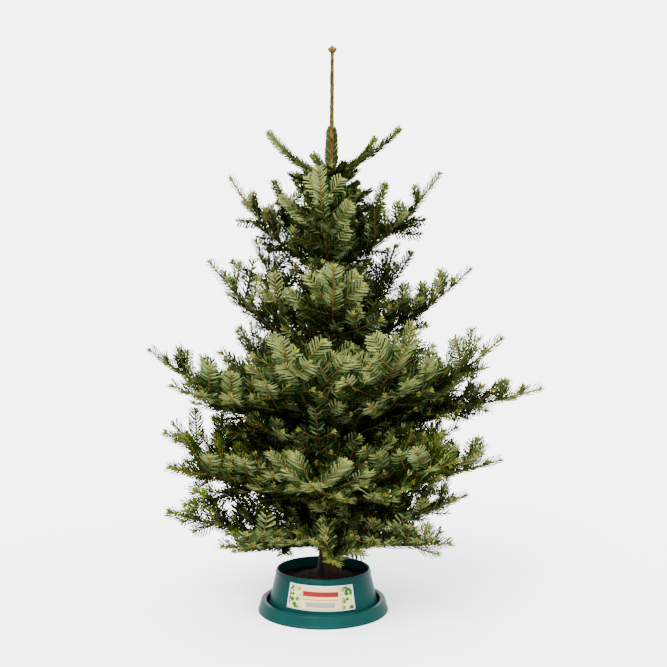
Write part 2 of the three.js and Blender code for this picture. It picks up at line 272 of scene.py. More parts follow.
# %% Growth: the plan
TREE_HEIGHT = 1.400
TRUNK_X, TRUNK_LEAN = 0.013, 0.009  # the trunk's foot, and how far it leans by its top
TRUNK_TIP, TRUNK_WOOD, TRUNK_TAPER = 0.0046, 0.0204, 1.7
FLARE, FLARE_HEIGHT = 0.012, 0.035
SOIL_EDGE = 0.074  # the height of the soil at the cone's wall
WHORLS = {  # height, years, limb's radius, needle reach, [azimuth, reach, tip height, fullness]
    "top": (1.072, 1, 0.0042, 0.0175, [
        (180, 157, 1174), (112, 125, 1148), (44, 160, 1188), (-10, 170, 1174)]),
    "second": (0.837, 2, 0.0056, 0.0195, [
        (176, 252, 1064, 0.6), (132, 225, 1087), (50, 220, 1082), (-14, 270, 1056, 0.6), (-98, 190, 1040)]),
    "third": (0.634, 3, 0.0064, 0.023, [
        (179, 300, 852, 0.75), (138, 275, 930), (50, 280, 922), (-9, 342, 826, 0.7), (-88, 268, 808)]),
    "fourth": (0.448, 4, 0.0078, 0.025, [
        (177, 450, 632, 0.7), (130, 400, 697), (68, 400, 727), (3, 527, 535, 0.5),
        (-32, 442, 654), (-64, 395, 660), (-105, 370, 647), (-145, 415, 552)]),
    "fifth": (0.299, 4, 0.0078, 0.024, [
        (172, 420, 422), (128, 400, 404), (82, 400, 432), (38, 400, 402),
        (-4, 415, 364), (-48, 400, 397), (-95, 395, 364), (-142, 420, 377)]),
    "lowest": (0.172, 3, 0.0070, 0.024, [
        (176, 400, 228, 0.6), (120, 370, 250, 0.8), (70, 350, 220), (18, 370, 254),
        (-36, 330, 202, 0.7), (-88, 300, 188, 0.8), (-134, 330, 206, 0.55)]),
}
STAGGER = 0.007
ROLL = 26  # the most that a bough's fan turns about its limb, in degrees


def trunk_centre(height):
    height = np.asarray(height, float)
    return np.stack([TRUNK_X + TRUNK_LEAN * height / TREE_HEIGHT, height * 0, height], axis=-1)


def trunk_radius(height):
    above = np.maximum(height - SOIL_EDGE, 0)
    left = np.clip(1 - above / (TREE_HEIGHT - SOIL_EDGE), 0, 1)
    return TRUNK_TIP + TRUNK_WOOD * left**TRUNK_TAPER + FLARE * np.exp(-above / FLARE_HEIGHT)


def bough_curve(height, azimuth, reach, tip_height, key):
    turn = math.radians(azimuth)
    out = np.array([math.cos(turn), math.sin(turn), 0.0])
    root = trunk_centre(height)
    rise = tip_height * MM - height
    reach = reach * MM
    tip = root + out * reach + UP * rise
    curve = Curve(root, root + out * reach * 0.5 + UP * rise * 0.1, tip, UP)
    ahead = curve.along(0.6)[0]
    side = unit(np.cross(UP, curve.along(0.9)[0]))
    lean = math.radians(ROLL * (2 * chance(key) - 1))
    turned_side = side * math.cos(lean) + np.cross(ahead, side) * math.sin(lean)
    curve.side = turned_side + ahead * np.dot(ahead, side) * (1 - math.cos(lean))
    return curve


def node_shares(years):
    return [(j / years) ** 0.9 for j in range(years + 1)]


print("whorls", list(WHORLS))


# %% [markdown]
# A pair of side shoots leaves its parent at about 50 degrees. A shoot is a small record: its
# curve, its age, the reach of its needles, and how bare its foot is. Its level says what it is: 0
# a bough, 1 a side shoot, 2 a twig, 3 a weak shoot. One list holds every shoot of a whorl, so the
# later steps can clothe them all in the same way.

# %% Growth: side shoots
FORK_ANGLE = 50
TIP_RISE = 0.12  # how far a shoot's tip turns up, as a share of its length


def shoot_curve(at, heading, length, side):
    """A shoot that leaves along its heading, and turns up a little by its tip."""
    tip = at + heading * length + UP * TIP_RISE * length
    return Curve(at, at + heading * length / 2, tip, side)


def side_shoots(parent, share, size, years, key, lift=0.4, droop=0.9, level=1):
    """Two shoots, one to each hand. Size is their length as a share of what the parent grows on.

    Lift is how far they may leave the plane of the fan, and droop below 1 turns more of them up.
    """
    along, across, above = (v[0] for v in parent["curve"].frame(share))
    at = parent["curve"].at(share)[0]
    pair = []
    for i, hand in enumerate((1, -1)):
        own = key * 2 + i
        angle = math.radians(FORK_ANGLE * vary(own + 0.5, 0.14))
        heading = along * math.cos(angle) + across * hand * math.sin(angle)
        heading = unit(heading + above * lift * (2 * chance(own + 0.25) - droop))
        length = parent["length"] * (1 - share) * size * vary(own, 0.16)
        curve = shoot_curve(at, heading, length, unit(np.cross(above, heading)))
        own_values = {"curve": curve, "length": length, "years": years, "key": own, "level": level}
        pair.append({**parent, **own_values, "root": 0.0})
    return pair


print("fork angle", FORK_ANGLE, "degrees")

# %% [markdown]
# A bough carries side shoots at its nodes, twigs on those, and a pair of twigs between the nodes.
# On a young fir some strong shoots also stand up from a bough, and make the crown look deep and
# soft, so four pairs of these risers leave each bough of two or more years. They grow by the same
# function, with a lift that is always upward.

# %% Growth: boughs
LAST_SIDE_SHOOT, SIDE_SHOOT, TWIG, BETWEEN_NODES = 0.92, 0.78, 0.66, 0.4  # sizes
RISER_SHARES = (0.38, 0.52, 0.66, 0.8)  # where the risers leave a bough
RISER_LENGTH = 0.29  # their length, as a share of the bough's
RISER_CROWD = 840  # their needles to a metre


def grow_bough(bough, key):
    """The bough itself, its side shoots, their twigs, the twigs between the nodes, and risers."""
    years = bough["years"]
    shares = node_shares(years)
    grown = [bough]
    for j in range(1, years):
        size = (LAST_SIDE_SHOOT if j == years - 1 else SIDE_SHOOT) * bough["fullness"]
        for shoot in side_shoots(bough, shares[j] + 0.02, size, years - j, key * 100 + j * 10):
            grown.append(shoot)
            forks = node_shares(shoot["years"])
            for i in range(1, shoot["years"]):
                grown += side_shoots(shoot, forks[i], TWIG, 1, shoot["key"] * 7 + i, level=2)
    for j in range(1, years):
        middle = shares[j] + (shares[j + 1] - shares[j]) * 0.55
        grown += side_shoots(bough, middle, BETWEEN_NODES, 1, key * 100 + j * 10 + 5, level=2)
    for n, share in enumerate(RISER_SHARES if years > 1 else ()):
        size = RISER_LENGTH * bough["fullness"] * (1 - 0.4 * share) / (1 - share)
        risers = side_shoots(bough, share, size, 1, key * 100 + 61 + n, lift=0.25, droop=-2.0)
        grown += [{**shoot, "crowd": RISER_CROWD} for shoot in risers]
    return grown


print("risers on a bough", 2 * len(RISER_SHARES))

# %% [markdown]
# Older wood also carries many weak shoots. They stand all round the inner three quarters of each
# limb and fill the crown. Those that hang down are left out: a fir is open from beneath.

# %% Growth: weak shoots on the boughs
INNER = 0.76  # the share of a limb that carries weak shoots
BOUGH_STEP, SHOOT_STEP = 0.023, 0.036  # between two pairs of weak shoots
SHORTEST_LIMB = 0.11  # shorter shoots carry none
LOWEST_DROP = -0.008  # weak shoots that hang lower than this are left out


def rise_of(curve):
    return curve.at(1.0)[0][2] - curve.at(0.0)[0][2]


def grow_finer(grown, bough, key):
    finer = []
    if bough["years"] < 2:
        return finer
    steps = int(bough["length"] / BOUGH_STEP)
    for n in range(1, int(steps * INNER)):
        spot = (n + 0.5 * chance(key + n)) / steps
        size = (0.05 + 0.04 * chance(key * 3 + n)) / (bough["length"] * (1 - spot))
        finer += side_shoots(bough, spot, size, 1, key * 1000 + n, 1.3, 0.85, 3)
    for shoot in grown:
        if shoot is bough or shoot["length"] < SHORTEST_LIMB:
            continue
        steps = int(shoot["length"] / SHOOT_STEP)
        for n in range(1, int(steps * INNER)):
            spot = (n - 0.3) / steps
            size = (0.045 + 0.03 * chance(shoot["key"] + n)) / (shoot["length"] * (1 - spot))
            finer += side_shoots(shoot, spot, min(size, 0.6), 1, shoot["key"] * 3 + n + 0.5, 0.9, 0.9, 3)
    return [s for s in finer if rise_of(s["curve"]) > LOWEST_DROP]


crown = {}
for w, (whorl, (height, years, limb, reach, rows)) in enumerate(WHORLS.items()):
    crown[whorl] = []
    for index, (azimuth, out, tip_height, *fullness) in enumerate(rows):
        key = (w + 1) * 10 + index
        root_height = height + (STAGGER if index % 2 else -STAGGER)
        curve = bough_curve(root_height, azimuth, out, tip_height, key)
        bough = {"curve": curve, "length": curve.length, "years": years, "key": key, "level": 0,
                 "limb": limb, "reach": reach, "whorl": whorl, "root": 0.04,
                 "fullness": fullness[0] if fullness else 1.0}
        grown = grow_bough(bough, key)
        crown[whorl] += grown + grow_finer(grown, bough, key)
    print(whorl, "shoots", len(crown[whorl]))


# %% [markdown]
# Between its whorls a young fir's trunk is never bare: it carries short weak shoots all round,
# in a spiral. They are old and dark, and they close the heart of the crown. The spiral turns by
# the golden angle, so no two of them stand right over each other.

# %% Growth: weak shoots on the trunk
GOLDEN_ANGLE = 137.5
GAPS = {  # whorl they are joined with: lowest and highest root, number, shortest and longest
    "top": (0.867, 1.050, 46, 0.06, 0.12),
    "second": (0.682, 0.790, 32, 0.07, 0.14),
    "third": (0.492, 0.596, 30, 0.1, 0.22),
    "fourth": (0.337, 0.438, 40, 0.18, 0.4),
    "fifth": (0.207, 0.290, 36, 0.16, 0.36),
    "lowest": (0.127, 0.164, 20, 0.08, 0.2),
}
for whorl, (low, high, count, short, long) in GAPS.items():
    for n in range(count):
        key = 7000 + 61 * low * 100 + n
        root = trunk_centre(low + (high - low) * (n + 0.5) / count)
        turn = math.radians(GOLDEN_ANGLE * n)
        rise = math.radians(12 + 34 * chance(key))
        out = np.array([math.cos(turn) * math.cos(rise), math.sin(turn) * math.cos(rise), math.sin(rise)])
        length = short + (long - short) * chance(key + 0.3)
        side = unit(np.cross(UP, out) + UP * (chance(key + 0.7) - 0.5))
        weak = {"curve": shoot_curve(root, out, length, side), "length": length, "years": 1, "key": key,
                "level": 3, "reach": WHORLS[whorl][3] * 0.9, "whorl": whorl, "root": 0.12}
        crown[whorl].append(weak)
        for n_side, spot in enumerate((0.35, 0.55, 0.75)):
            if length * (1 - spot) > 0.025:
                level = 2 if spot > 0.5 else 3
                crown[whorl] += side_shoots(weak, spot, TWIG, 1, key * 5 + n_side, 0.5, 0.9, level)

shoot_lengths = [shoot["length"] for shoots in crown.values() for shoot in shoots]
print("shoots in all", len(shoot_lengths), "metres", round(sum(shoot_lengths), 1))


# %% [markdown]
# Wood. A limb is a ring of points that is extruded step by step along its curve, turned and
# shrunk on the way, as one would do by hand. Then each point moves out or in by a noise, which
# gives the bark its relief.

# %% Limbs with relief
def finish_piece(name, bm, materials):
    mesh = bpy.data.meshes.new(name)
    bm.to_mesh(mesh)
    bm.free()
    for polygon in mesh.polygons:
        polygon.use_smooth = True
    for material in materials:
        mesh.materials.append(material)
    piece = in_scene(name, mesh)
    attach(piece, "root")
    return piece


def placement(at, across, above, along, radius):
    turn = Matrix((across, above, along)).transposed().to_4x4()
    return Matrix.Translation(Vector(at)) @ turn @ Matrix.Diagonal((radius, radius, radius, 1.0))


def extrude_limb(bm, points, frames, radii, sides):
    """Adds a closed limb through the points. Frames are (along, across, above) at each."""
    ring = bmesh.ops.create_circle(bm, segments=sides, radius=1.0, cap_ends=True)["verts"]
    edges = list({e for v in ring for e in v.link_edges})
    places = [placement(p, fr[1], fr[2], fr[0], r) for p, fr, r in zip(points, frames, radii)]
    bmesh.ops.transform(bm, matrix=places[0], verts=ring)
    everything = list(ring)
    for before, after in zip(places, places[1:]):
        made = bmesh.ops.extrude_edge_only(bm, edges=edges)["geom"]
        ring = [g for g in made if isinstance(g, bmesh.types.BMVert)]
        edges = [g for g in made if isinstance(g, bmesh.types.BMEdge)]
        bmesh.ops.transform(bm, matrix=after @ before.inverted(), verts=ring)
        everything += ring
    bmesh.ops.contextual_create(bm, geom=edges)
    return everything


def roughen(bm, points, relief):
    """Turns every face outward, then moves points along their normals by what relief() gives."""
    bmesh.ops.recalc_face_normals(bm, faces=bm.faces[:])
    bm.normal_update()
    moves = [(v, v.normal * relief(v.co)) for v in points]
    for v, move in moves:
        v.co += move


print("limb helpers ready")

# %% [markdown]
# The trunk flares at its foot, tapers to the thickness of a pencil, and ends in a cluster of
# buds. Its foot is furrowed, it swells a little where each whorl leaves, and its last year, the
# leader, is bare and knobbly with the scars of fallen needles.

# %% Trunk
LEADER_FOOT = 1.186
BUD_FOOT = TREE_HEIGHT - 0.020
FOOT = 0.0063  # what stands in the tray starts here, just above its floor
FOOT_STEP, TRUNK_STEP, LEADER_STEP = 0.0045, 0.0065, 0.0028  # between two rings
TRUNK_SIDES = 28


def trunk_relief(spot):
    height = spot.z
    fibre = noise.noise(Vector((spot.x * 90, spot.y * 90, spot.z * 16)))
    lumps = noise.noise(Vector((spot.x * 35, spot.y * 35, spot.z * 22)) + Vector((7, 3, 1)))
    if height > LEADER_FOOT - 0.02:
        scars = noise.noise(Vector((spot.x * 260, spot.y * 260, spot.z * 110)))
        return 0.0011 * scars + 0.0005 * lumps
    foot = math.exp(-max(height - 0.072, 0) / 0.12)
    return (0.0006 + 0.0020 * foot) * fibre + (0.0006 + 0.0022 * foot) * lumps


def swelling(height):
    """The collar of wood where the boughs of a whorl leave."""
    total = 0
    for whorl_height, _, limb, _, _ in WHORLS.values():
        near = math.exp(-(((height - whorl_height) / 0.014) ** 2))
        total += 0.0035 * near * (0.4 + limb / 0.0078)
    return total


heights = [FOOT] + [0.02 + FOOT_STEP * i for i in range(60)]
heights += [heights[-1] + TRUNK_STEP * i for i in range(1, 140)]
heights = [h for h in heights if h < LEADER_FOOT]
leader_rings = int((BUD_FOOT + 0.004 - LEADER_FOOT) / LEADER_STEP)
heights += [LEADER_FOOT + LEADER_STEP * i for i in range(leader_rings)]
trunk_mesh = bmesh.new()
level_frame = (Vector((0, 0, 1)), Vector((1, 0, 0)), Vector((0, 1, 0)))
trunk_points = extrude_limb(
    trunk_mesh,
    [trunk_centre(h) for h in heights],
    [level_frame] * len(heights),
    [float(trunk_radius(h)) + swelling(h) for h in heights],
    TRUNK_SIDES,
)
roughen(trunk_mesh, [v for v in trunk_points if v.co.z > FOOT + 0.001], trunk_relief)
for face in trunk_mesh.faces:
    face.material_index = 1 if face.calc_center_median().z > LEADER_FOOT - 0.1 else 0
trunk = finish_piece("trunk_wood", trunk_mesh, [trunk_bark, leader_bark])
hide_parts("trunk")
print("trunk rings", len(heights))

# %% [markdown]
# Each bough is one limb along its own curve. Its radius falls from a small collar at the trunk to
# that of a twig at its tip, and past its last node it has the tan bark of a young shoot. A
# whorl's boughs are one piece, which replaces the CAD model's plain ones.

# %% Boughs
BOUGH_SIDES = 9
RING_STEP = 0.009  # between two rings
BOUGH_TIP = 0.0014
COLLAR, COLLAR_LENGTH = 0.003, 0.012


def bough_relief(spot):
    return 0.0006 * noise.noise(spot * 140) + 0.0005 * noise.noise(spot * 55)


for whorl in WHORLS:
    boughs_mesh = bmesh.new()
    for shoot in crown[whorl]:
        if shoot["level"]:
            continue
        older = len(boughs_mesh.faces)
        steps = max(12, int(shoot["length"] / RING_STEP))
        shares = np.linspace(0.0, 0.995, steps + 1)
        along, across, above = shoot["curve"].frame(shares)
        frames = [tuple(map(Vector, f)) for f in zip(along, across, above)]
        taper = BOUGH_TIP + (shoot["limb"] * 0.9 - BOUGH_TIP) * (1 - shares) ** 1.3
        radii = taper + COLLAR * np.exp(-shares * shoot["length"] / COLLAR_LENGTH)
        extrude_limb(boughs_mesh, shoot["curve"].at(shares), frames, radii, BOUGH_SIDES)
        last_node = node_shares(shoot["years"])[-2]
        boughs_mesh.faces.ensure_lookup_table()
        for n, face in enumerate(boughs_mesh.faces[older + 1:]):
            face.material_index = int(n / BOUGH_SIDES > last_node * steps)
    roughen(boughs_mesh, list(boughs_mesh.verts), bough_relief)
    piece = finish_piece(f"boughs_{whorl}", boughs_mesh, [bough_bark, young_bark])
    names = [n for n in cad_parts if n.startswith(f"bough_{whorl}_")]
    if names:
        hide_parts(*names)
    print(piece.name, "faces", len(piece.data.polygons))


# %% [markdown]
# Small things by the thousand. A twig, a bud or a needle is modelled once, as a pattern with a few
# faces, and then copied by sums on whole arrays of points. One joined mesh of many copies loads
# and renders far faster than thousands of objects.

# %% Patterns and joined copies
def pattern(bm):
    """The points and triangles of a small closed mesh, as arrays."""
    bmesh.ops.triangulate(bm, faces=bm.faces[:])
    bmesh.ops.recalc_face_normals(bm, faces=bm.faces[:])
    bm.verts.index_update()
    points = np.array([v.co[:] for v in bm.verts])
    triangles = np.array([[v.index for v in f.verts] for f in bm.faces])
    marks = np.array([f.material_index for f in bm.faces])
    bm.free()
    return points, triangles, marks


def joined(name, points, triangles, marks, materials, smooth):
    """One mesh from copies: points (copies, corners, 3), and a material for each triangle."""
    copies, corners = points.shape[:2]
    faces = (triangles[None] + (np.arange(copies) * corners)[:, None, None]).reshape(-1, 3)
    mesh = bpy.data.meshes.new(name)
    mesh.vertices.add(copies * corners)
    mesh.vertices.foreach_set("co", points.reshape(-1).astype(np.float32))
    mesh.loops.add(faces.size)
    mesh.loops.foreach_set("vertex_index", faces.reshape(-1).astype(np.int32))
    mesh.polygons.add(len(faces))
    mesh.polygons.foreach_set("loop_start", np.arange(0, faces.size, 3, dtype=np.int32))
    mesh.polygons.foreach_set("material_index", marks.reshape(-1).astype(np.int32))
    mesh.polygons.foreach_set("use_smooth", np.full(len(faces), smooth))
    for material in materials:
        mesh.materials.append(material)
    mesh.update(calc_edges=True)
    mesh.validate()
    piece = in_scene(name, mesh)
    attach(piece, "root")
    print(name, "copies", copies, "triangles", len(faces))
    return piece


# %% [markdown]
# A twig's pattern is a four-sided rod with three cuts along it, which is enough for something a
# few millimetres thick. Each copy is bent along its shoot's curve and thinned towards the tip.

# %% Twigs
twig_bm = bmesh.new()
bmesh.ops.create_cone(twig_bm, cap_ends=True, segments=4, radius1=1.0, radius2=1.0, depth=1.0)
lengthwise = [e for e in twig_bm.edges if abs(e.verts[0].co.z - e.verts[1].co.z) > 0.5]
bmesh.ops.subdivide_edges(twig_bm, edges=lengthwise, cuts=3)
TWIG_POINTS, TWIG_TRIANGLES, _ = pattern(twig_bm)


def twig_radius(shoot, share):
    foot = 0.0015 + 0.0045 * min(shoot["length"], 0.3) * (1 if shoot["years"] > 1 else 0.5)
    return foot + (0.0012 - foot) * share


def twig_points(shoot):
    share = TWIG_POINTS[:, 2] + 0.5
    along, across, above = shoot["curve"].frame(share)
    radius = twig_radius(shoot, share)[:, None]
    return shoot["curve"].at(share) + radius * (across * TWIG_POINTS[:, :1] + above * TWIG_POINTS[:, 1:2])


for whorl, shoots in crown.items():
    twigs = [s for s in shoots if s["level"]]
    points = np.stack([twig_points(s) for s in twigs])
    young = np.array([s["years"] == 1 and s["level"] < 3 for s in twigs], float)
    marks = young[:, None] + np.zeros((len(twigs), len(TWIG_TRIANGLES)))
    piece = joined(f"twigs_{whorl}", points, TWIG_TRIANGLES, marks, [twig_bark, young_bark], True)

# %% [markdown]
# A needle's pattern has six triangles. Its upper side is one flat face. The copy of that face
# below is turned over and poked, and the new point is drawn down into a keel, so the two sides
# take different materials and the needle has some thickness.

# %% Needle pattern
NEEDLE_OUTLINE = [(0.0, -0.34), (1.0, -0.4), (1.0, 0.4), (0.0, 0.34)]
needle_bm = bmesh.new()
corners = [needle_bm.verts.new((x, y, 0.0)) for x, y in NEEDLE_OUTLINE]
upper_face = needle_bm.faces.new(corners)
copy = bmesh.ops.duplicate(needle_bm, geom=[upper_face])["geom"]
lower_face = next(g for g in copy if isinstance(g, bmesh.types.BMFace))
lower_face.normal_flip()
lower_face.material_index = 1
keel = bmesh.ops.poke(needle_bm, faces=[lower_face])["verts"][0]
keel.co.z = -0.4
for face in needle_bm.faces:
    face.material_index = 1 if keel in list(face.verts) else 0
bmesh.ops.remove_doubles(needle_bm, verts=needle_bm.verts[:], dist=1e-5)
NEEDLE_POINTS, NEEDLE_TRIANGLES, NEEDLE_FACES = pattern(needle_bm)
print("needle triangles", len(NEEDLE_TRIANGLES))


# %% [markdown]
# A shoot's needles. On a real fir they leave the stem in a spiral, but those from below bend
# round to the sides. So here they stand in six rows: four make a flat comb, and two a ruff above
# it, all swept towards the tip. The function works out, for one shoot, where each needle starts
# and points, which way its dark face looks, its length and its green. The upper two rows are
# turned outwards, so that a shoot looks full from the side, and later their undersides are painted
# two greens darker: painted shade, for the shade of the comb below them.

# %% Needles of a shoot
NEEDLE_WIDTH = 0.0033
ROSETTE = 8  # needles round the buds
PER_METRE = {0: 740, 1: 720, 2: 640, 3: 470}  # needles to a metre, by the shoot's level
ROWS = np.array([-106, 106, -82, 82, -34, 34])  # a needle's turn about the stem, from above
CROWD = {"top": 2.7, "second": 1.5}  # the young whorls are more closely set
FIRST_UPPER_ROW = 4
SIDE_PITCH = 56  # a side needle's angle to the stem, in degrees
SPRAY_LENGTH = 0.024  # needles this close together share a green
LIVELY = ("deep", "grown", "fresh")
YOUNG_TONES = {  # level: below which luck a shoot has the first green, and the second
    0: (0.2, 0.7, LIVELY), 1: (0.2, 0.7, LIVELY), 2: (0.4, 0.85, LIVELY),
    3: (0.45, 0.9, ("old", "deep", "grown")),
}
FRESHER = {"fifth": 0.1, "lowest": 0.25}  # these whorls lean to fresh greens
needle_random = np.random.default_rng(24)


def shoot_tones(shoot, share):
    """The green of each needle: by the age of its part of the shoot, and dealt by the spray."""
    shares = np.array(node_shares(shoot["years"]))
    age = shoot["years"] - np.clip(np.searchsorted(shares, share), 1, shoot["years"])
    luck = min(chance(shoot["key"] * 1.7 + 3) + FRESHER.get(shoot["whorl"], 0), 1)
    first, second, greens = YOUNG_TONES[shoot["level"]]
    young = TONE[greens[(luck >= first) + (luck >= second)]]
    tone = np.where(age == 0, young, np.where(age == 1, TONE["deep"], TONE["old"]))
    room = (1 - share) * shoot["length"]
    spray = (room / SPRAY_LENGTH).astype(int)
    shift = np.array([chance(shoot["key"] + 0.37 * k) for k in range(spray.max() + 1)])[spray]
    tone = tone + (shift > 0.72) - (shift < 0.2)
    tone = np.where((room < 0.03) & (age == 0), young + 1, tone)
    return np.clip(tone, 0, TONE["bright"])


def shoot_needles(shoot):
    """The comb of a shoot, and the rosette that closes its tip."""
    length = shoot["length"]
    usual = PER_METRE[shoot["level"]] * CROWD.get(shoot["whorl"], 1)
    comb = int(length * (1 - shoot["root"]) * shoot.get("crowd", usual))
    count = comb + (0 if shoot["level"] == 3 else ROSETTE)
    order = np.arange(count)
    random = needle_random.random((7, count)) * 2 - 1
    at_tip = order >= comb
    row = order % len(ROWS)
    place = order - row + len(ROWS) * (0.5 + 0.16 * row / len(ROWS) + 0.16 * random[6])
    share = shoot["root"] + (1 - shoot["root"]) * np.clip(place / comb, 0, 1)
    share = np.where(at_tip, 1 - 0.005 * np.abs(random[6]) / length, share)
    room = (1 - share) * length
    turn = np.where(at_tip, order * GOLDEN_ANGLE, ROWS[row]) + random[0] * 7
    spread = np.radians(turn)
    flat = np.abs(np.sin(spread))
    pitch = np.radians(np.where(at_tip, 28 + 14 * random[5], 45 + 11 * flat + random[1] * 5))
    along, across, above = shoot["curve"].frame(share)
    outward = across * np.sin(spread)[:, None] + above * np.cos(spread)[:, None]
    heading = along * np.cos(pitch)[:, None] + outward * np.sin(pitch)[:, None]
    ahead = unit(heading + along * 0.45)
    twist = random[2] * 0.22 + np.where(row >= FIRST_UPPER_ROW, np.sign(turn) * 0.8, 0)
    face = unit(above + across * twist[:, None] + along * (random[3] * 0.14)[:, None])
    face = unit(face - heading * np.sum(face * heading, axis=1, keepdims=True))
    full = shoot["reach"] / math.sin(math.radians(SIDE_PITCH))
    if shoot["level"] == 3:
        full *= 0.85
    upper = {"top": 0.95, "second": 0.9}.get(shoot["whorl"], 0.8)
    ends = np.clip(share * length / 0.012, 0.45, 1) * np.clip(0.6 + room / 0.04, 0.6, 1)
    size = full * np.where(at_tip, 0.4, (upper + (1 - upper) * flat) * ends) * (1 + 0.12 * random[4])
    start = shoot["curve"].at(share) + outward * shoot.get("thick", 0.0008)
    tone = shoot_tones(shoot, share) + (random[4] > 0.75) - (random[4] < -0.4)
    tone = tone + (shoot["level"] < 2) * (share + 0.15 * random[1] > 0.76)
    tone = np.clip(tone, 0, TONE["bright"])
    if shoot["level"] < 3:
        tone = np.where(at_tip, np.where(random[0] > 0, TONE["tip"], TONE["bright"]), tone)
    width = NEEDLE_WIDTH * (1.3 if shoot["level"] == 3 else 1) * (1 + 0.1 * random[5])
    # The upper rows are marked here, so that their undersides can be given painted shade.
    return {"start": start, "heading": heading, "ahead": ahead, "face": face, "size": size,
            "width": width, "tone": tone, "shaded_upper_rows": (row >= FIRST_UPPER_ROW) & ~at_tip}


def needle_points(n):
    """The corners of every needle: the pattern, bent a little from its heading to ahead."""
    x, y, z = (NEEDLE_POINTS[None, :, k, None] for k in range(3))
    size, width = n["size"][:, None, None], n["width"][:, None, None]
    heading, ahead, face = (n[k][:, None, :] for k in ("heading", "ahead", "face"))
    flat = unit(np.cross(face, heading))
    line = heading * (x - 0.5 * x * x) + ahead * (0.5 * x * x)
    return n["start"][:, None, :] + line * size + (flat * y + face * z) * width


LEAN_A_METRE = 0.0064
BARK_ROOM = 0.002
LOWEST_NEEDLE = 0.092
MOST_TRIANGLES = 195000  # in one joined piece


def clear_of_wood(points):
    """Whether a needle stays outside the trunk and above the stand."""
    reach = np.hypot(points[..., 0] - TRUNK_X - LEAN_A_METRE * points[..., 2], points[..., 1])
    outside = np.full(len(points), True)
    for corner in (-1, 3):
        outside &= reach[:, corner] > trunk_radius(points[:, corner, 2]) + BARK_ROOM
    return outside & (points[..., 2].min(axis=1) > LOWEST_NEEDLE)


print("needle width", NEEDLE_WIDTH)

# %% [markdown]
# Now every shoot gets its needles. All the needles of a whorl become one mesh, or two where it
# would be too large, and the mesh stands for all the whorl's foliage masses of the CAD model.
# Needles that would run into the trunk or the stand are left out.

# %% Clothe the crown
def clothe(name, shoots, nodes):
    parts = [shoot_needles(s) for s in shoots]
    needles = {k: np.concatenate([p[k] for p in parts]) for k in parts[0]}
    points = needle_points(needles)
    keep = clear_of_wood(points)
    points = points[keep]
    tone, shaded_upper_rows = (needles[k][keep][:, None] for k in ("tone", "shaded_upper_rows"))
    # Painted shade: the undersides of the upper rows take a green two steps darker, for the shade of the
    # comb below them.
    beneath = np.where(shaded_upper_rows, np.maximum(tone - 2, 0), tone) * 2 + 1
    marks = np.where(NEEDLE_FACES[None] == 1, beneath, tone * 2)
    pieces = math.ceil(len(points) * len(NEEDLE_TRIANGLES) / MOST_TRIANGLES)
    for i, rows in enumerate(np.array_split(np.arange(len(points)), pieces)):
        title = f"needles_{name}_{i + 1}"
        piece = joined(title, points[rows], NEEDLE_TRIANGLES, marks[rows], needle_finishes, False)
        if i == 0:
            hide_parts(*nodes)
    return len(points)


needle_count = 0
for whorl, shoots in crown.items():
    masses = [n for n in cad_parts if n.startswith(f"foliage_{whorl}_")]
    needle_count += clothe(whorl, shoots, masses)
print("needles in all", needle_count)

# %% [markdown]
# The foot of the leader is a brush of its own: its needles are closely set, lie to both sides of
# the stem, and get shorter towards the top, where the leader turns bare.

# %% Clothe the leader's foot
SLEEVE = (1.078, 1.132, LEADER_FOOT)  # the heights of its foot, middle and top
leader_curve = Curve(*map(trunk_centre, SLEEVE), np.array([1.0, 0.0, 0.0]))
leader_shoot = {"curve": leader_curve, "length": leader_curve.length, "years": 1, "key": 5, "level": 2,
                "reach": 0.0155, "whorl": "top", "root": 0.0, "crowd": 2900, "thick": 0.003}
leader = shoot_needles(leader_shoot)
leader_order = np.arange(len(leader["tone"]))
leader["size"] = leader["size"] * np.linspace(1.1, 0.7, len(leader_order))
darker = np.where(leader_order % 3, TONE["deep"], TONE["grown"])
leader["tone"] = np.where(leader_order % 7 == 0, TONE["fresh"], darker)
leader_marks = leader["tone"][:, None] * 2 + NEEDLE_FACES[None]
leader_piece = joined(
    "needles_leader", needle_points(leader), NEEDLE_TRIANGLES, leader_marks, needle_finishes, False
)
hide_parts("foliage_leader")

# %% [markdown]
# Buds. A strong shoot ends in a cluster: one plump bud ahead, two smaller ones beside it and one
# above. A twig has a single bud, a weak shoot none, and the leader's top has a ring of six round
# the largest. A bud is an icosphere drawn out to a point, copied in the same way as the needles.

# %% Buds
BUD_SIZE = 0.0031
CLUSTER = ((0, 0, 1.0), (90, 38, 0.8), (-90, 38, 0.8), (0, 42, 0.7))  # turn, lean, share of size
RING_BUDS = 6
RING_HEIGHT, RING_RADIUS, RING_BUD_SIZE = 1.380, 0.0035, 0.0052
TOP_BUD_HEIGHT, TOP_BUD_SIZE = 1.3835, 0.0056
bud_bm = bmesh.new()
bmesh.ops.create_icosphere(bud_bm, subdivisions=1, radius=1.0)
for v in bud_bm.verts:
    slim = 1 - 0.35 * max(v.co.z, 0)
    v.co = Vector((v.co.x * slim, v.co.y * slim, v.co.z * 1.5 + 0.9))
BUD_POINTS, BUD_TRIANGLES, _ = pattern(bud_bm)


def bud_along(at, axis, near, size):
    """One bud that points along an axis."""
    side = unit(np.cross(axis, near))
    axes = np.stack([side, np.cross(axis, side), axis])
    return at + BUD_POINTS @ axes * size


def bud_copies(at, along, across, above, size, count):
    """A cluster of buds round the end of a shoot."""
    copies = []
    for turn, lean, share in CLUSTER[:count]:
        out = across * math.sin(math.radians(turn)) + above * math.cos(math.radians(turn))
        axis = unit(along * math.cos(math.radians(lean)) + out * math.sin(math.radians(lean)))
        copies.append(bud_along(at, axis, above + across * 0.3, size * share))
    return copies


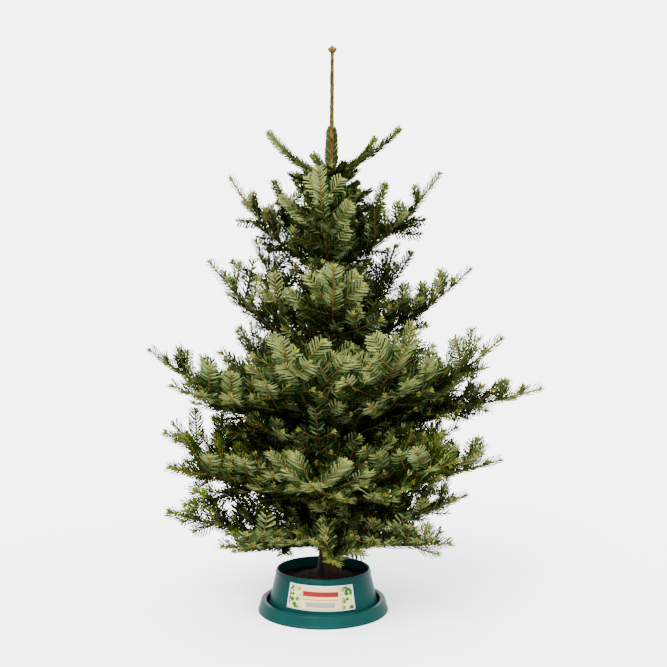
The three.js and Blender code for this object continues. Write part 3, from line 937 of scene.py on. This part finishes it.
for whorl, shoots in crown.items():
    copies = []
    for shoot in shoots:
        if shoot["level"] == 3:
            continue
        along, across, above = (v[0] for v in shoot["curve"].frame(1.0))
        at = shoot["curve"].at(1.0)[0] - along * 0.001
        count = len(CLUSTER) if shoot["level"] < 2 else 1
        copies += bud_copies(at, along, across, above, BUD_SIZE, count)
    if whorl == "top":
        for n in range(RING_BUDS):
            turn = math.radians(360 / RING_BUDS * n)
            out = np.array([math.cos(turn), math.sin(turn), 0.0])
            at = trunk_centre(RING_HEIGHT) + out * RING_RADIUS
            copies.append(bud_along(at, unit(UP + out * 0.75), UP, RING_BUD_SIZE))
        copies.append(trunk_centre(TOP_BUD_HEIGHT) + BUD_POINTS * TOP_BUD_SIZE)
    points = np.stack(copies)
    marks = np.zeros((len(points), len(BUD_TRIANGLES)))
    piece = joined(f"buds_{whorl}", points, BUD_TRIANGLES, marks, [bud_scales], True)

# %% [markdown]
# The stand is two mouldings of one satin plastic: a shallow tray with a raised ring, and a cone
# that stands in it. Both are turned shapes, so an outline is spun about the upright axis. Its
# corners are cut by a small bevel first, because a moulding has no sharp edge, and that is where
# it catches the light.

# %% Stand finish
plastic = Finish("stand_plastic", roughness=0.3, specular_ior_level=0.02)
mottle = plastic.noise(14, 3.0)
grain = plastic.noise(900, 2.0)
plastic_finish = plastic.wear(
    plastic.blend(plastic.steps(mottle, 0.3, 0.7), (0.0007, 0.0134, 0.0124), (0.001, 0.017, 0.0156)),
    0.27 + mottle * 0.14,
    grain,
    0.00008,
)


# %% Turned pieces
def turned(name, profile, material, segments=128, bevel=0.0012, relief=None):
    """Spins a closed outline of (radius, height) points about the upright axis."""
    bm = bmesh.new()
    points = [bm.verts.new((r, 0.0, z)) for r, z in profile]
    outline = [bm.faces.new(points)]
    if bevel:
        corners = [v for v in bm.verts if v.co.x > 0.001]
        bmesh.ops.bevel(
            bm, geom=corners, offset=bevel, segments=3, profile=0.5, affect="VERTICES", material=-1
        )
        outline = bm.faces[:]
    edges = [e for f in outline for e in f.edges if max(v.co.x for v in e.verts) > 1e-6]
    bmesh.ops.delete(bm, geom=outline, context="FACES_ONLY")
    ends = list({v for e in edges for v in e.verts})
    bmesh.ops.spin(bm, geom=edges + ends, cent=(0, 0, 0), axis=(0, 0, 1), angle=math.tau,
                   steps=segments, use_merge=True, use_duplicate=False)
    bmesh.ops.remove_doubles(bm, verts=bm.verts[:], dist=1e-6)
    loose = [e for e in bm.edges if not e.link_faces]
    bmesh.ops.delete(bm, geom=loose, context="EDGES")
    bmesh.ops.recalc_face_normals(bm, faces=bm.faces[:])
    if relief:
        for v in bm.verts:
            v.co.z += relief(v.co)
    return finish_piece(name, bm, [material])


CONE_FOOT, CONE_TOP, CONE_HEIGHT = 0.135, 0.114, 0.0995
TRAY_FLOOR = 0.006
BAND = 0.0895  # where the band round the cone's top starts
PROUD = 0.0012  # how far the band stands out


def cone_radius(height):
    return CONE_FOOT + (CONE_TOP - CONE_FOOT) * (height - TRAY_FLOOR) / (CONE_HEIGHT - TRAY_FLOOR)


tray = turned("tray", [
    (0.0, 0.0), (0.1585, 0.0), (0.1585, 0.0042), (0.1566, 0.0062), (0.152, 0.0255), (0.1495, 0.028),
    (0.1405, 0.028), (0.138, 0.0255), (0.137, TRAY_FLOOR), (0.0, TRAY_FLOOR),
], plastic_finish)
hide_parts("stand_tray")
cone = turned("cone", [
    (CONE_FOOT, FOOT), (cone_radius(BAND), BAND), (cone_radius(BAND) + PROUD, BAND + 0.0015),
    (CONE_TOP + PROUD, 0.0975), (CONE_TOP, CONE_HEIGHT), (0.112, CONE_HEIGHT), (0.111, 0.0975),
    (0.132, FOOT),
], plastic_finish, bevel=0.0005)
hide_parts("stand_cone")
print("tray faces", len(tray.data.polygons), "cone faces", len(cone.data.polygons))

# %% [markdown]
# The cone is filled with dark potting soil, heaped a little round the trunk. Its outline is
# spun like the stand, with many rings on top, which a noise then lifts into crumbs and hollows.

# %% Soil
MOUND, MOUND_RADIUS, SLOPE = 0.0865, 0.046, 0.036
CRUMBS_FOOT, CRUMBS_EDGE = 0.067, 0.114  # the relief lies above and inside these
soil = Finish("soil", roughness=1.0, specular_ior_level=0.05)
crumbs = soil.noise(170, 6.0)
patches = soil.noise(38, 3.0)
dampness = soil.steps(crumbs * 0.6 + patches * 0.4, 0.36, 0.66)
soil_colour = soil.blend(dampness, (0.00128, 0.00064, 0.00032), (0.0112, 0.006, 0.0028))
soil_finish = soil.wear(soil_colour, 1.0 - crumbs * 0.1, crumbs, 0.002)


def soil_height(radius):
    if radius < MOUND_RADIUS:
        return MOUND
    return MOUND - 0.0125 * min((radius - MOUND_RADIUS) / SLOPE, 1.0) ** 0.8


def soil_relief(spot):
    """Crumbs and hollows on the top alone: the wall and the underside stay even."""
    if spot.z < CRUMBS_FOOT or math.hypot(spot.x, spot.y) > CRUMBS_EDGE:
        return 0.0
    layers = ((0.0022, 95), (0.0035, 30), (0.0012, 260))
    return sum(depth * noise.noise(spot * fineness) for depth, fineness in layers)


SOIL_RINGS = 34
SOIL_FOOT, SOIL_FOOT_RADIUS = 0.0066, 0.1312
rim = cone_radius(SOIL_EDGE) - 0.0036
top = [(rim * i / SOIL_RINGS, soil_height(rim * i / SOIL_RINGS)) for i in range(SOIL_RINGS, -1, -1)]
soil_outline = [(0.0, SOIL_FOOT), (SOIL_FOOT_RADIUS, SOIL_FOOT)] + top
fill = turned("soil_fill", soil_outline, soil_finish, 144, 0, soil_relief)
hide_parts("stand_fill")
print("soil faces", len(fill.data.polygons))

# %% [markdown]
# A paper label is wrapped on the front of the cone: a thin sheet, bent round it from a flat grid.
# Its print is a plain generic design, drawn by shader maths on the sheet's own UV map: a cream
# ground with a white edge, green leaf shapes at its ends, and a red band, a thin line and a grey
# panel without any words.

# %% Label finish
paper_label = Finish("label_paper", roughness=0.45, specular_ior_level=MATT_SHINE)
uv = paper_label.node("ShaderNodeUVMap", {"uv_map": "label"})
across_label = paper_label.node("ShaderNodeSeparateXYZ", values=[uv])
up_label = Wire(paper_label, across_label.socket.node.outputs[1])


def inside(value, low, high, soft=0.006):
    """1 where a value lies between two limits."""
    above_low = paper_label.steps(value, low - soft, low + soft)
    return above_low * (1 - paper_label.steps(value, high - soft, high + soft))


printed = inside(across_label, 0.022, 0.978) * inside(up_label, 0.05, 0.95)
leaf_spots = paper_label.node("ShaderNodeMapping", values={"Vector": uv, "Scale": (14, 5.5, 1)})
leaf_values = {"Vector": leaf_spots, "Scale": 1.0, "Randomness": 0.75}
leaf_shapes = paper_label.node("ShaderNodeTexVoronoi", {"feature": "F1"}, leaf_values)
ends = 1 - inside(across_label, 0.19, 0.81, 0.05)
sprigs = ends * (1 - paper_label.steps(leaf_shapes, 0.52, 0.58))
red_band = inside(across_label, 0.24, 0.76) * inside(up_label, 0.56, 0.76, 0.012)
thin_band = inside(across_label, 0.24, 0.76) * inside(up_label, 0.42, 0.46, 0.008)
panel = inside(across_label, 0.3, 0.7) * inside(up_label, 0.14, 0.34, 0.01)
ground = paper_label.blend(printed, (0.336, 0.336, 0.32), (0.288, 0.24, 0.104))
for share, colour in (
    (sprigs, (0.0064, 0.044, 0.0048)), (panel, (0.104, 0.112, 0.104)),
    (thin_band, (0.192, 0.072, 0.048)), (red_band, (0.096, 0.0016, 0.0032)),
):
    ground = paper_label.blend(printed * share, ground, colour)
label_finish = paper_label.wear(ground, 0.4 + paper_label.noise(60, 2.0) * 0.15)

# %% Label
LABEL_ANGLES = (-40.5, 35.8)
LABEL_FOOT, LABEL_HEAD = 0.032, 0.0865
label_bm = bmesh.new()
bmesh.ops.create_grid(label_bm, x_segments=40, y_segments=8, size=0.5)
uv_layer = label_bm.loops.layers.uv.new("label")
for face in label_bm.faces:
    for loop in face.loops:
        loop[uv_layer].uv = (loop.vert.co.x + 0.5, loop.vert.co.y + 0.5)
for v in label_bm.verts:
    u, w = v.co.x + 0.5, v.co.y + 0.5
    angle = math.radians(LABEL_ANGLES[0] + (LABEL_ANGLES[1] - LABEL_ANGLES[0]) * u)
    height = LABEL_FOOT + (LABEL_HEAD - LABEL_FOOT) * w + 0.003 * (0.5 - u)
    radius = cone_radius(height) + 0.0005
    v.co = Vector((radius * math.sin(angle), -radius * math.cos(angle), height))
bmesh.ops.recalc_face_normals(label_bm, faces=label_bm.faces[:])
if sum(f.normal.y for f in label_bm.faces) > 0:
    bmesh.ops.reverse_faces(label_bm, faces=label_bm.faces[:])
label = finish_piece("label", label_bm, [label_finish])
thickness = label.modifiers.new("thickness", "SOLIDIFY")
thickness.thickness = 0.0003
thickness.offset = -1.0
print("label faces", len(label.data.polygons))

# %% [markdown]
# The studio. The floor is a large disc of pale paper, as pale as the sky, so the two meet without
# a hard line. The strong even sky gives most of the light, and two very soft suns shape the
# boughs: the key from the front left, and a weaker one from the right.

# %% Floor, light and sky
floor_bm = bmesh.new()
bmesh.ops.create_circle(floor_bm, cap_ends=True, segments=96, radius=40.0)
floor_mesh = bpy.data.meshes.new("floor")
floor_bm.to_mesh(floor_mesh)
floor_bm.free()
floor = in_scene("floor", floor_mesh)
paper = Finish("paper", roughness=0.9)
floor_mesh.materials.append(paper.wear(rgba((0.6, 0.6, 0.605))))

sky = bpy.data.worlds.new("studio")
sky.use_nodes = True
sky.node_tree.nodes["Background"].inputs["Color"].default_value = (0.97, 0.975, 1.0, 1.0)
sky.node_tree.nodes["Background"].inputs["Strength"].default_value = 6.2
bpy.context.scene.world = sky


def add_sun(name, strength, azimuth, elevation, softness):
    sun = bpy.data.lights.new(name, "SUN")
    sun.energy = strength
    sun.angle = math.radians(softness)
    lamp = in_scene(name, sun)
    lamp.rotation_euler = (math.radians(90 - elevation), 0.0, math.radians(azimuth))


add_sun("key_light", 15.0, -22, 46, 35)
add_sun("fill_light", 3.4, 50, 28, 60)
print("studio lit")
